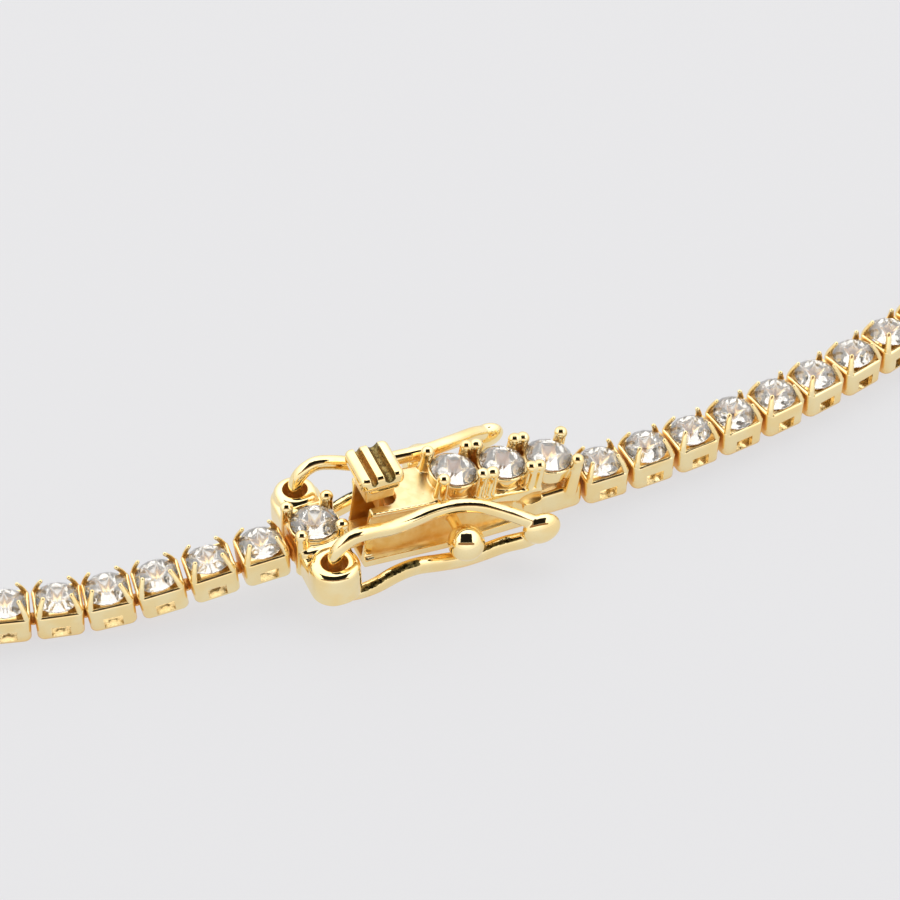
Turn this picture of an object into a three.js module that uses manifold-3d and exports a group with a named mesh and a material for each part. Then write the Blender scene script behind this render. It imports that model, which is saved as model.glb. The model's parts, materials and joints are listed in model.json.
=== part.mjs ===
// Tennis necklace: a closed run of stone-set links joined by a box clasp with two
// safety catches, lying flat with its stones up. Millimetres, +Z up.
//
// The clasp lies along X at the front of the loop. Its own measures run from the
// centre of the end bar's stone (x = 0), and y = 0 is the chain's centre line.
import * as THREE from 'three';
import { mergeVertices } from 'three/addons/utils/BufferGeometryUtils.js';
import Module from 'manifold-3d';

const wasm = await Module();
wasm.setup();

// Round brilliant stones.
const STONE_RADIUS = 1.25;
const TABLE_RADIUS = 0.72;
const GIRDLE_HALF = 0.04;
const CROWN_TOP = 0.4;
const CULET_DEPTH = 1.05;
const STONE_SIDES = 16;

// Sides of round pieces by their size, and how far a cut runs past what it cuts.
const SMALL_SIDES = 12;
const MEDIUM_SIDES = 24;
const LARGE_SIDES = 28;
const CUT_PAST = 1;

// Loop of the chain: a little rounder near the clasp than opposite it.
const LINK_PITCH = 2.72;
const LINK_COUNT = 152;
const CHAIN_WIDTH = 2.4;
const CHAIN_HEIGHT = 2.3;
const CHAIN_CHAMFER = 0.55;
const CHAIN_STEPS = 80;
const LOOP_SKEW = 0.0788;
const ROUTE_SAMPLES = 2400;

// The first links at the end bar climb to the clasp, which is thicker than they are.
const BAR_END_LIFT = 1.2;
const BAR_END_RAMP = 12;

// Ends of the rigid clasp along x, the room left to the chain's end links, and how
// far the first link hangs to one side of the box.
const BAR_END_X = -1.5;
const BOX_END_X = 14.75;
const END_GAP = 0.26;
const BOX_END_PLAY = -0.23;

// Four-prong heads.
const PRONG_OFFSET = 1.11;
const PRONG_RADIUS = 0.27;
const PRONG_TIP_RADIUS = 0.33;
const PRONG_TIP_HEIGHT = 0.42;
const COLLAR_TOP = -0.55;
const COLLAR_BOTTOM = -0.9;
const COLLAR_OUTER = 1.2;
const COLLAR_INNER = 0.85;
const COLLAR_FLARE = 0.15;
const POCKET_PLAY = 0.05;

// End bar: a rounded block with a drilled ear at each end.
const BAR_BOTTOM = 1.15;
const BAR_TOP = 2.75;
const BAR_HALF_LENGTH = 1.35;
const BAR_CORNER_RADIUS = 1.33;
const BAR_RIM = 0.2;
const EAR_Y = 2.84;
const EAR_TOP = 3.2;
const EAR_RADIUS = 1.32;
const EAR_HOLE_RADIUS = 0.65;
const EAR_INNER_Y = 1.59;
const EAR_CORNER_RADIUS = 1.25;
const EAR_RIM = 0.22;
const BAR_STONE_Z = 3.4;
const BAR_POST_DEPTH = 2.15;
const BAR_POCKET_POINT_RADIUS = 0.55;
const BAR_POCKET_DEPTH = 2.35;
const NECK_HALF_WIDTH = 0.6;
const NECK_BOTTOM = 1.5;
const NECK_TOP = 2.5;

// Tongue of the end bar, and the spring leaf folded back over it.
const TONGUE_START_X = 1;
const TONGUE_HALF_WIDTH = 0.85;
const TONGUE_BOTTOM = 1.5;
const TONGUE_TOP = 1.85;
const TONGUE_END_X = 6.2;
const FOLD_X = 5.95;
const FOLD_Z = 2.2;
const FOLD_RADIUS = 0.24;
const LEAF_THICKNESS = 0.3;
const LEAF_HALF_WIDTH = 0.75;
const STEM_X = 3.45;
const STEM_FOOT_Z = 3.5;
const STEM_FOOT_HALF = 0.12;
const STEM_SINK = 0.2;
const THUMB_CENTRE_X = 3.37;
const THUMB_LENGTH = 2.4;
const THUMB_HALF_WIDTH = 1.38;
const THUMB_BOTTOM = 5.75;
const THUMB_TOP = 6.62;
const PLATE_LENGTH = 1.8;
const PLATE_HALF_WIDTH = 1.2;
const PLATE_BOTTOM = 5.42;
const THUMB_BEVEL = 0.2;
const THUMB_CORNER_RADIUS = 0.35;
const GROOVE_WIDTH = 0.36;
const GROOVE_DEPTH = 0.3;
const GROOVE_OFFSET = 0.38;

// Box: open at the end bar's side, roofed at first, then low under its three heads.
const BOX_HALF_WIDTH = 1.5;
const BOX_START_X = 2.65;
const BOX_WALL = 0.42;
const BOX_START_BOTTOM = 0.5;
const ROOF_START_Z = 4.33;
const ROOF_END_X = 6.75;
const ROOF_END_Z = 3.75;
const DECK_START_Z = 2.75;
const DECK_END_Z = 1.45;
const BOX_NOSE_X = 12.25;
const BOX_NOSE_HALF_WIDTH = 1.22;
const NOSE_CORNER_RADIUS = 0.45;
const NOSE_RIM = 0.05;
const CAVITY_END_X = 6.55;
const MOUTH_FLARE = 0.15;
const NOTCH_END_X = 4.35;
const NOTCH_HALF_WIDTH = 0.98;
const NOTCH_CORNER_RADIUS = 0.7;
const NOTCH_DEPTH = 1.2;
const HEAD_X = [7.8, 10.55, 13.2];
const FIRST_HEAD_Z = 4.28;
const HEAD_SLOPE = 0.19;
const POST_DEPTH = 1.85;
const BOX_POCKET_POINT_RADIUS = 0.35;
const BOX_POCKET_DEPTH = 1.6;

// Ball studs on the sides of the box.
const BALL_X = 7.17;
const BALL_Y = 3.2;
const BALL_Z = 2.1;
const BALL_RADIUS = 0.93;
const BALL_STEM_RADIUS = 0.42;
const BALL_STEM_SINK = 0.2;

// Safety catches: the wire runs [x, outward y, z] from the nub along the top,
// down through the ear and back along the bottom.
const WIRE_RADIUS = 0.375;
const WIRE_SIDES = 10;
const WIRE_STEPS = 76;
const CATCH_ROUTE = [
  [11.15, 3.7, 2.35],
  [10.3, 3.36, 2.82],
  [9.35, 2.9, 3.25],
  [8.3, 2.46, 3.65],
  [7.1, 2.18, 3.88],
  [5.7, 2.18, 3.98],
  [4.4, 2.34, 3.96],
  [3.2, 2.54, 4.1],
  [2.2, 2.7, 4.42],
  [1.2, 2.82, 4.6],
  [0.4, 2.84, 4.2],
  [0.04, 2.84, 3.5],
  [0, 2.84, 2.6],
  [0, 2.84, 1.7],
  [0.08, 2.84, 1.05],
  [0.55, 2.86, 0.58],
  [1.4, 2.92, 0.5],
  [2.3, 2.94, 0.62],
  [3.4, 2.92, 0.95],
  [4.5, 2.86, 1.0],
  [5.8, 2.78, 0.66],
  [7.1, 2.8, 0.46],
  [8.3, 2.92, 0.62],
  [9.35, 3.16, 0.98],
  [10.4, 3.48, 1.26],
  [11.15, 3.7, 1.72],
];
const NUB_CENTRE = [11.2, 3.72, 2.05];
const NUB_HALF_SIZE = [1.05, 0.5, 0.98];

const GOLD = { color: 0xe2bd6c, metalness: 1, roughness: 0.16 };
const CLEAR_STONE = { color: 0xf1f4f8, metalness: 0, roughness: 0.03 };

// ---- solids -------------------------------------------------------------

// A closed geometry as a manifold solid, without the slivers that merging leaves.
function solid(geometry) {
  const bare = new THREE.BufferGeometry();
  bare.setAttribute('position', geometry.getAttribute('position').clone());
  bare.setIndex(geometry.index);
  const merged = mergeVertices(bare, 1e-5);
  const index = merged.index.array;
  const kept = [];
  for (let i = 0; i < index.length; i += 3) {
    const [a, b, c] = [index[i], index[i + 1], index[i + 2]];
    if (a !== b && b !== c && c !== a) kept.push(a, b, c);
  }
  return new wasm.Manifold(new wasm.Mesh({
    numProp: 3,
    vertProperties: new Float32Array(merged.getAttribute('position').array),
    triVerts: new Uint32Array(kept),
  }));
}

function geometryOf(body) {
  const mesh = body.getMesh();
  const geometry = new THREE.BufferGeometry();
  geometry.setAttribute('position', new THREE.BufferAttribute(mesh.vertProperties, 3));
  geometry.setIndex(new THREE.BufferAttribute(mesh.triVerts, 1));
  return geometry;
}

function joined(bodies) {
  return bodies.reduce((whole, body) => whole.add(body));
}

// A named mesh with flat faces in its own finish.
function piece(name, geometry, finish) {
  const flat = geometry.index ? geometry.toNonIndexed() : geometry;
  flat.computeVertexNormals();
  const mesh = new THREE.Mesh(flat, new THREE.MeshStandardMaterial(finish));
  mesh.name = name;
  return mesh;
}

function block(x0, x1, y0, y1, z0, z1) {
  const geometry = new THREE.BoxGeometry(x1 - x0, y1 - y0, z1 - z0);
  geometry.translate((x0 + x1) / 2, (y0 + y1) / 2, (z0 + z1) / 2);
  return solid(geometry);
}

function upright(x, y, radius, z0, z1) {
  const geometry = new THREE.CylinderGeometry(radius, radius, z1 - z0, LARGE_SIDES);
  geometry.rotateX(Math.PI / 2);
  geometry.translate(x, y, (z0 + z1) / 2);
  return solid(geometry);
}

// A side view [x, z] given a width across y.
function sideProfile(points, halfWidth) {
  const shape = new THREE.Shape(points.map(([x, z]) => new THREE.Vector2(x, z)));
  const geometry = new THREE.ExtrudeGeometry(shape, { depth: 2 * halfWidth, bevelEnabled: false });
  geometry.rotateX(Math.PI / 2);
  geometry.translate(0, halfWidth, 0);
  return solid(geometry);
}

// An outline in plan given a height, with rounded rims.
function rimmedPlan(shape, z0, z1, rim) {
  const geometry = new THREE.ExtrudeGeometry(shape, {
    depth: z1 - z0 - 2 * rim,
    bevelSize: rim,
    bevelOffset: -rim,
    bevelThickness: rim,
    bevelSegments: 2,
    curveSegments: 12,
  });
  geometry.translate(0, 0, z0 + rim);
  return solid(geometry);
}

function roundedRectangle(x0, x1, y0, y1, radius) {
  const shape = new THREE.Shape();
  shape.moveTo(x0 + radius, y0);
  shape.lineTo(x1 - radius, y0);
  shape.absarc(x1 - radius, y0 + radius, radius, -Math.PI / 2, 0);
  shape.lineTo(x1, y1 - radius);
  shape.absarc(x1 - radius, y1 - radius, radius, 0, Math.PI / 2);
  shape.lineTo(x0 + radius, y1);
  shape.absarc(x0 + radius, y1 - radius, radius, Math.PI / 2, Math.PI);
  shape.lineTo(x0, y0 + radius);
  shape.absarc(x0 + radius, y0 + radius, radius, Math.PI, 1.5 * Math.PI);
  return shape;
}

// ---- stones and their heads ---------------------------------------------

// The place of a girdle's centre on the clasp, leaning with the row of heads.
function seat(x, z, lean) {
  const place = new THREE.Matrix4().makeRotationY(lean);
  return place.setPosition(x, 0, z);
}

function stone(name, place) {
  const profile = [
    [0, -CULET_DEPTH],
    [STONE_RADIUS, -GIRDLE_HALF],
    [STONE_RADIUS, GIRDLE_HALF],
    [TABLE_RADIUS, CROWN_TOP],
    [0, CROWN_TOP],
  ].map(([r, z]) => new THREE.Vector2(r, z));
  const geometry = new THREE.LatheGeometry(profile, STONE_SIDES);
  geometry.rotateX(Math.PI / 2);
  geometry.applyMatrix4(place);
  return piece(name, geometryOf(solid(geometry)), CLEAR_STONE);
}

// Four round posts with ball tips, and the collar that ties them under the stone.
function head(place, postDepth) {
  const bodies = [];
  for (const sideX of [-1, 1]) {
    for (const sideY of [-1, 1]) {
      const post = new THREE.CylinderGeometry(
        PRONG_RADIUS, PRONG_RADIUS, postDepth + PRONG_TIP_HEIGHT, SMALL_SIDES);
      post.rotateX(Math.PI / 2);
      post.translate(0, 0, (PRONG_TIP_HEIGHT - postDepth) / 2);
      const tip = new THREE.SphereGeometry(PRONG_TIP_RADIUS, SMALL_SIDES, SMALL_SIDES / 2);
      tip.rotateX(Math.PI / 2);
      tip.translate(0, 0, PRONG_TIP_HEIGHT);
      for (const geometry of [post, tip]) {
        geometry.translate(sideX * PRONG_OFFSET, sideY * PRONG_OFFSET, 0);
        geometry.applyMatrix4(place);
        bodies.push(solid(geometry));
      }
    }
  }
  return joined([...bodies, collar(place)]);
}

function collar(place) {
  const corners = [
    [COLLAR_INNER, COLLAR_BOTTOM],
    [COLLAR_OUTER, COLLAR_BOTTOM],
    [COLLAR_OUTER + COLLAR_FLARE, COLLAR_TOP],
    [COLLAR_INNER + COLLAR_FLARE, COLLAR_TOP],
    [COLLAR_INNER, COLLAR_BOTTOM],
  ].map(([r, z]) => new THREE.Vector2(r, z));
  const geometry = new THREE.LatheGeometry(corners, MEDIUM_SIDES);
  geometry.rotateX(Math.PI / 2);
  geometry.applyMatrix4(place);
  return solid(geometry);
}

// Room for a stone's point in the metal under it, widening up to its girdle.
function pocket(place, pointRadius, depth) {
  const cone = new THREE.CylinderGeometry(
    STONE_RADIUS + POCKET_PLAY, pointRadius, depth + POCKET_PLAY, MEDIUM_SIDES);
  cone.rotateX(Math.PI / 2);
  cone.translate(0, 0, (POCKET_PLAY - depth) / 2);
  cone.applyMatrix4(place);
  return solid(cone);
}

// ---- end bar and trigger ------------------------------------------------

function endBar() {
  const outer = EAR_Y + EAR_RADIUS;
  const place = seat(0, BAR_STONE_Z, 0);
  const plan = roundedRectangle(
    -BAR_HALF_LENGTH, BAR_HALF_LENGTH, -outer, outer, BAR_CORNER_RADIUS);
  const body = joined([
    rimmedPlan(plan, BAR_BOTTOM, BAR_TOP, BAR_RIM),
    ear(EAR_INNER_Y, outer),
    ear(-outer, -EAR_INNER_Y),
    head(place, BAR_POST_DEPTH),
    block(BAR_END_X, 0, -NECK_HALF_WIDTH, NECK_HALF_WIDTH, NECK_BOTTOM, NECK_TOP),
    block(TONGUE_START_X, TONGUE_END_X, -TONGUE_HALF_WIDTH, TONGUE_HALF_WIDTH,
      TONGUE_BOTTOM, TONGUE_TOP),
  ]);
  return body
    .subtract(upright(0, EAR_Y, EAR_HOLE_RADIUS, 0, EAR_TOP + CUT_PAST))
    .subtract(upright(0, -EAR_Y, EAR_HOLE_RADIUS, 0, EAR_TOP + CUT_PAST))
    .subtract(pocket(place, BAR_POCKET_POINT_RADIUS, BAR_POCKET_DEPTH));
}

function ear(y0, y1) {
  const plan = roundedRectangle(
    -BAR_HALF_LENGTH, BAR_HALF_LENGTH, y0, y1, EAR_CORNER_RADIUS);
  return rimmedPlan(plan, BAR_BOTTOM, EAR_TOP, EAR_RIM);
}

// A spring leaf that rises from its fold, with the stem and thumb piece on its end.
function trigger() {
  const rise = Math.atan2(STEM_FOOT_Z - FOLD_Z, FOLD_X - STEM_X);
  const half = LEAF_THICKNESS / 2;
  const lean = new THREE.Vector2(Math.sin(rise), Math.cos(rise)).multiplyScalar(half);
  const leaf = sideProfile([
    [FOLD_X - lean.x, FOLD_Z - lean.y],
    [FOLD_X + lean.x, FOLD_Z + lean.y],
    [STEM_X + half, STEM_FOOT_Z + STEM_FOOT_HALF],
    [STEM_X + half, THUMB_BOTTOM + STEM_SINK],
    [STEM_X - half, THUMB_BOTTOM + STEM_SINK],
    [STEM_X - half, STEM_FOOT_Z - STEM_FOOT_HALF],
  ], LEAF_HALF_WIDTH);
  const fold = new THREE.CylinderGeometry(
    FOLD_RADIUS, FOLD_RADIUS, 2 * LEAF_HALF_WIDTH, MEDIUM_SIDES);
  fold.translate(FOLD_X, 0, FOLD_Z);
  return joined([leaf, solid(fold), thumbPiece()]);
}

// Rounded block with two grooves across it, which leave three ridges, on a smaller plate.
function thumbPiece() {
  const start = THUMB_CENTRE_X - THUMB_LENGTH / 2;
  const outline = roundedRectangle(
    start, start + THUMB_LENGTH, -THUMB_HALF_WIDTH, THUMB_HALF_WIDTH, THUMB_CORNER_RADIUS);
  let body = rimmedPlan(outline, THUMB_BOTTOM, THUMB_TOP, THUMB_BEVEL);
  for (const side of [-1, 1]) {
    const x = THUMB_CENTRE_X + side * GROOVE_OFFSET;
    const reach = THUMB_HALF_WIDTH + CUT_PAST;
    body = body.subtract(block(
      x - GROOVE_WIDTH / 2, x + GROOVE_WIDTH / 2, -reach, reach,
      THUMB_TOP - GROOVE_DEPTH, THUMB_TOP + CUT_PAST));
  }
  return body.add(block(
    STEM_X - PLATE_LENGTH / 2, STEM_X + PLATE_LENGTH / 2, -PLATE_HALF_WIDTH, PLATE_HALF_WIDTH,
    PLATE_BOTTOM, THUMB_BOTTOM + STEM_SINK));
}

// ---- box ----------------------------------------------------------------

// Underside of the box, which slopes down to the ground at its far end.
function floorHeight(x) {
  return BOX_START_BOTTOM * (BOX_END_X - x) / (BOX_END_X - BOX_START_X);
}

function deckHeight(x) {
  return DECK_START_Z + (DECK_END_Z - DECK_START_Z) * (x - ROOF_END_X) / (BOX_END_X - ROOF_END_X);
}

function boxShell() {
  const roofed = sideProfile([
    [BOX_START_X, BOX_START_BOTTOM],
    [BOX_NOSE_X, floorHeight(BOX_NOSE_X)],
    [BOX_NOSE_X, deckHeight(BOX_NOSE_X)],
    [ROOF_END_X, DECK_START_Z],
    [ROOF_END_X, ROOF_END_Z],
    [BOX_START_X, ROOF_START_Z],
  ], BOX_HALF_WIDTH);
  const plan = roundedRectangle(
    BOX_NOSE_X - CUT_PAST, BOX_END_X, -BOX_NOSE_HALF_WIDTH, BOX_NOSE_HALF_WIDTH,
    NOSE_CORNER_RADIUS);
  const [low, high] = [BOX_NOSE_X - 2 * CUT_PAST, BOX_END_X + CUT_PAST];
  const nose = rimmedPlan(plan, -CUT_PAST, ROOF_START_Z, NOSE_RIM).intersect(sideProfile([
    [low, 0],
    [high, 0],
    [high, deckHeight(high)],
    [low, deckHeight(low)],
  ], BOX_HALF_WIDTH));
  return roofed.add(nose);
}

// Room for the tongue and its leaf, and the open underside of the three heads.
function boxHollows() {
  const inner = BOX_HALF_WIDTH - BOX_WALL;
  const mouth = sideProfile([
    [BOX_START_X - CUT_PAST, BOX_START_BOTTOM + BOX_WALL],
    [CAVITY_END_X, BOX_START_BOTTOM + BOX_WALL],
    [CAVITY_END_X, ROOF_END_Z - BOX_WALL],
    [BOX_START_X - CUT_PAST, ROOF_START_Z - BOX_WALL + MOUTH_FLARE],
  ], inner);
  const under = sideProfile([
    [CAVITY_END_X + BOX_WALL, -CUT_PAST],
    [BOX_END_X - BOX_WALL, -CUT_PAST],
    [BOX_END_X - BOX_WALL, deckHeight(BOX_END_X) - BOX_WALL],
    [CAVITY_END_X + BOX_WALL, DECK_START_Z - BOX_WALL],
  ], BOX_NOSE_HALF_WIDTH - BOX_WALL);
  return [mouth, under];
}

// Slot in the roof, rounded at its closed end, where the leaf's stem comes up.
function roofNotch() {
  const plan = roundedRectangle(
    BOX_START_X - 2 * CUT_PAST, NOTCH_END_X, -NOTCH_HALF_WIDTH, NOTCH_HALF_WIDTH,
    NOTCH_CORNER_RADIUS);
  const geometry = new THREE.ExtrudeGeometry(plan, {
    depth: NOTCH_DEPTH + CUT_PAST, bevelEnabled: false, curveSegments: SMALL_SIDES,
  });
  geometry.translate(0, 0, ROOF_START_Z - NOTCH_DEPTH);
  return solid(geometry);
}

function headPlaces() {
  const lean = Math.atan(HEAD_SLOPE);
  return HEAD_X.map((x) => seat(x, FIRST_HEAD_Z - HEAD_SLOPE * (x - HEAD_X[0]), lean));
}

// Ball stud and its stem on one side of the box.
function stud(side) {
  const start = BOX_HALF_WIDTH - BALL_STEM_SINK;
  const stem = new THREE.CylinderGeometry(
    BALL_STEM_RADIUS, BALL_STEM_RADIUS, BALL_Y - start, MEDIUM_SIDES);
  stem.translate(BALL_X, side * (BALL_Y + start) / 2, BALL_Z);
  const ball = new THREE.SphereGeometry(BALL_RADIUS, LARGE_SIDES, LARGE_SIDES / 2);
  ball.rotateX(Math.PI / 2);
  ball.translate(BALL_X, side * BALL_Y, BALL_Z);
  return joined([solid(stem), solid(ball)]);
}

function claspBox() {
  const places = headPlaces();
  const hollow = [...boxHollows(), roofNotch()].reduce(
    (box, cutter) => box.subtract(cutter), boxShell());
  const heads = places.map((place) => head(place, POST_DEPTH));
  const pockets = places.map((place) => pocket(place, BOX_POCKET_POINT_RADIUS, BOX_POCKET_DEPTH));
  return pockets.reduce(
    (box, cutter) => box.subtract(cutter), joined([hollow, stud(-1), stud(1), ...heads]));
}

// ---- safety catches -----------------------------------------------------

// Bent wire with its flattened nub, on one side of the clasp.
function safetyCatch(side) {
  const route = CATCH_ROUTE.map(([x, y, z]) => new THREE.Vector3(x, side * y, z));
  const section = new THREE.Shape(new THREE.EllipseCurve(0, 0, WIRE_RADIUS, WIRE_RADIUS)
    .getPoints(WIRE_SIDES).slice(0, WIRE_SIDES));
  const wire = new THREE.ExtrudeGeometry(section, {
    extrudePath: new THREE.CatmullRomCurve3(route, false, 'centripetal'),
    steps: WIRE_STEPS,
    curveSegments: 1,
  });
  const nub = new THREE.SphereGeometry(1, LARGE_SIDES, LARGE_SIDES / 2);
  nub.scale(...NUB_HALF_SIZE);
  nub.translate(NUB_CENTRE[0], side * NUB_CENTRE[1], NUB_CENTRE[2]);
  return joined([solid(wire), solid(nub)]);
}

// ---- chain --------------------------------------------------------------

// Points every fine step of the chain over the ground, from the box round to the end
// bar, set so that both its ends meet the clasp.
function loopPoints() {
  const step = LINK_COUNT * LINK_PITCH / ROUTE_SAMPLES;
  const points = [new THREE.Vector2(0, 0)];
  for (let i = 0; i < ROUTE_SAMPLES; i += 1) {
    const turn = 2 * Math.PI * (i + 0.5) / ROUTE_SAMPLES;
    const heading = turn + LOOP_SKEW * Math.sin(turn);
    const last = points[points.length - 1];
    points.push(new THREE.Vector2(
      last.x + step * Math.cos(heading), last.y + step * Math.sin(heading)));
  }
  const start = new THREE.Vector2(BOX_END_X, BOX_END_PLAY);
  const reached = points[points.length - 1].clone();
  const wanted = new THREE.Vector2(BAR_END_X, 0).sub(start);
  const turn = wanted.angle() - reached.angle();
  const stretch = wanted.length() / reached.length();
  return points.map((point) => point.clone()
    .rotateAround(new THREE.Vector2(0, 0), turn).multiplyScalar(stretch).add(start));
}

// How far the chain stands off the ground, by its distance from the end bar.
function lift(distance) {
  const t = Math.min(distance / BAR_END_RAMP, 1);
  return BAR_END_LIFT * (1 - t * t * (3 - 2 * t));
}

// The chain's centre line, from the box's end round to the end bar.
function chainRoute() {
  const length = LINK_COUNT * LINK_PITCH;
  const loop = loopPoints();
  const route = [];
  for (let i = 0; i <= CHAIN_STEPS; i += 1) {
    const distance = END_GAP + (length - 2 * END_GAP) * i / CHAIN_STEPS;
    const at = distance / length * ROUTE_SAMPLES;
    const low = Math.floor(at);
    const point = loop[low].clone().lerp(loop[low + 1], at - low);
    route.push(new THREE.Vector3(
      point.x, point.y, CHAIN_HEIGHT / 2 + lift(length - distance)));
  }
  return route;
}

// One bar of the links' size, standing for all of them.
function chain() {
  const w = CHAIN_WIDTH / 2;
  const h = CHAIN_HEIGHT / 2;
  const c = CHAIN_CHAMFER;
  const section = new THREE.Shape([
    [-h, -w + c], [-h + c, -w], [h - c, -w], [h, -w + c],
    [h, w - c], [h - c, w], [-h + c, w], [-h, w - c],
  ].map(([x, y]) => new THREE.Vector2(x, y)));
  return new THREE.ExtrudeGeometry(section, {
    extrudePath: new THREE.CatmullRomCurve3(chainRoute()),
    steps: CHAIN_STEPS,
    curveSegments: 1,
  });
}

// ---- necklace -----------------------------------------------------------

const necklace = new THREE.Group();
necklace.name = 'tennis_necklace';
necklace.add(
  piece('chain', chain(), GOLD),
  piece('end_bar', geometryOf(endBar()), GOLD),
  stone('end_bar_stone', seat(0, BAR_STONE_Z, 0)),
  piece('trigger', geometryOf(trigger()), GOLD),
  piece('clasp_box', geometryOf(claspBox()), GOLD),
  piece('safety_catch_front', geometryOf(safetyCatch(-1)), GOLD),
  piece('safety_catch_back', geometryOf(safetyCatch(1)), GOLD),
);
headPlaces().forEach((place, i) => necklace.add(stone(`box_stone_${i + 1}`, place)));

// The origin is on the ground, under the middle of the loop.
const middle = new THREE.Box3().setFromObject(necklace).getCenter(new THREE.Vector3());
for (const mesh of necklace.children) mesh.geometry.translate(-middle.x, -middle.y, 0);

export default necklace;
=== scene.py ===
"""A tennis necklace lying flat: square basket links with round stones, and a box clasp.

Forms are worked out in millimetres. The clasp's own measures run from the centre of the end
bar's stone, along X towards the box, and y = 0 is the centre line of the chain.
"""
import json
import logging
import math
from collections.abc import Callable, Sequence
from dataclasses import dataclass, field
from enum import Enum

import bmesh
import bpy
import numpy as np
from mathutils import Matrix, Vector

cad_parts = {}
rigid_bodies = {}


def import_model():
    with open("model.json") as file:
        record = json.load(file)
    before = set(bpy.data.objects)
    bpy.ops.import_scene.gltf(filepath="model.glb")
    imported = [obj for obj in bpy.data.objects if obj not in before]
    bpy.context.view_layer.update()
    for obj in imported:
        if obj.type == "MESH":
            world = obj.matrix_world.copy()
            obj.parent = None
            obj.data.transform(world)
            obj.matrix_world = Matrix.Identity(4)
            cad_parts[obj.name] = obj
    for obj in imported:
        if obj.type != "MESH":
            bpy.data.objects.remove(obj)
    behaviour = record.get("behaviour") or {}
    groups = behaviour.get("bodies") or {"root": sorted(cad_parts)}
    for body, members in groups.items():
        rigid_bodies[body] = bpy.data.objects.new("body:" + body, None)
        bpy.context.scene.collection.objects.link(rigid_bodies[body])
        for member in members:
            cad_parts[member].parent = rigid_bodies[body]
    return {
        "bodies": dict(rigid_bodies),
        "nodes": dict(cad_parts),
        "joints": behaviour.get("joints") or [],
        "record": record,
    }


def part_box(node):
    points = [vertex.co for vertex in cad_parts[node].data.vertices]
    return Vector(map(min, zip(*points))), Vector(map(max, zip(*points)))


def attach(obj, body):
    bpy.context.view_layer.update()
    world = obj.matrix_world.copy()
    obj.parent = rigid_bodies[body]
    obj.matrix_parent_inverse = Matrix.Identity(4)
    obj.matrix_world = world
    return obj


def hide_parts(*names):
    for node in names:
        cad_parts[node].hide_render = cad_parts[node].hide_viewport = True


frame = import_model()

LOG = logging.getLogger("necklace")
MM = 0.001
Pair = tuple[float, float]
Point = tuple[float, float, float]
Colour = tuple[float, float, float]
Socket = bpy.types.NodeSocket
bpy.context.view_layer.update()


class Body(Enum):
    """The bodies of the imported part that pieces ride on."""

    NECKLACE = "necklace"
    TRIGGER = "trigger"
    FRONT_CATCH = "front_catch"
    BACK_CATCH = "back_catch"


class Side(Enum):
    """The two sides of the clasp, as signs of y."""

    FRONT = -1
    BACK = 1


# ---- forms --------------------------------------------------------------


@dataclass
class Form:
    """A closed mesh in millimetres, before it is a Blender object."""

    points: np.ndarray
    faces: list[tuple[int, ...]]

    def moved(self, matrix: Matrix) -> "Form":
        """The same form carried by a matrix in millimetres."""
        turn = np.array(matrix.to_3x3())
        return Form(self.points @ turn.T + np.array(matrix.translation), self.faces)

    def stretched(self, scale: Point, shift: Point) -> "Form":
        """The same form scaled along X, Y and Z and then shifted."""
        return Form(self.points * np.array(scale) + np.array(shift), self.faces)

    def joined(self, *others: "Form") -> "Form":
        """One form that holds this one and others, each still closed.

        Args:
            others: The forms to add.

        Returns:
            The joined form.
        """
        points, faces = [self.points], list(self.faces)
        start = len(self.points)
        for other in others:
            points.append(other.points)
            faces += [tuple(i + start for i in face) for face in other.faces]
            start += len(other.points)
        return Form(np.concatenate(points), faces)

    def mesh(self, name: str) -> bpy.types.Mesh:
        """A Blender mesh of the form, in millimetres, with its faces outward.

        Args:
            name: The mesh's name.

        Returns:
            The new mesh.
        """
        mesh = bpy.data.meshes.new(name)
        mesh.from_pydata([tuple(p) for p in self.points], [], self.faces)
        work = bmesh.new()
        work.from_mesh(mesh)
        bmesh.ops.recalc_face_normals(work, faces=work.faces)
        work.to_mesh(mesh)
        work.free()
        return mesh


def loft(rings: list[np.ndarray], endless: bool = False) -> Form:
    """A closed form through rings of equal count.

    Args:
        rings: Arrays of n points by three.
        endless: Whether the last ring joins the first, instead of a flat cap on each end.

    Returns:
        The lofted form.
    """
    rows, count = len(rings), len(rings[0])
    faces: list[tuple[int, ...]] = []
    for row in range(rows if endless else rows - 1):
        low, high = row * count, (row + 1) % rows * count
        for i in range(count):
            j = (i + 1) % count
            faces.append((low + i, low + j, high + j, high + i))
    if not endless:
        faces.append(tuple(reversed(range(count))))
        faces.append(tuple(range((rows - 1) * count, rows * count)))
    return Form(np.concatenate(rings), faces)


def level(outline: np.ndarray, z: float) -> np.ndarray:
    """An outline in plan as a ring at a height."""
    return np.column_stack([outline, np.full(len(outline), z)])


def turned(profile: Sequence[Pair], sides: int) -> Form:
    """A form turned about Z.

    Args:
        profile: Pairs of radius and height from bottom to top, with radii above zero.
        sides: The number of sides round the axis.

    Returns:
        The turned form.
    """
    angles = np.linspace(0, 2 * math.pi, sides, endpoint=False)
    circle = np.stack([np.cos(angles), np.sin(angles)], axis=1)
    return loft([level(circle * r, z) for r, z in profile])


def ball(centre: Point, radii: Point, sides: int = 32) -> Form:
    """An ellipsoid with its poles along Z.

    Args:
        centre: Its centre.
        radii: Its radii along X, Y and Z.
        sides: The number of sides round the poles.

    Returns:
        The ellipsoid.
    """
    near_pole = 0.02
    polar = np.linspace(near_pole, math.pi - near_pole, sides // 2)
    return turned([(math.sin(a), -math.cos(a)) for a in polar], sides).stretched(radii, centre)


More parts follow.
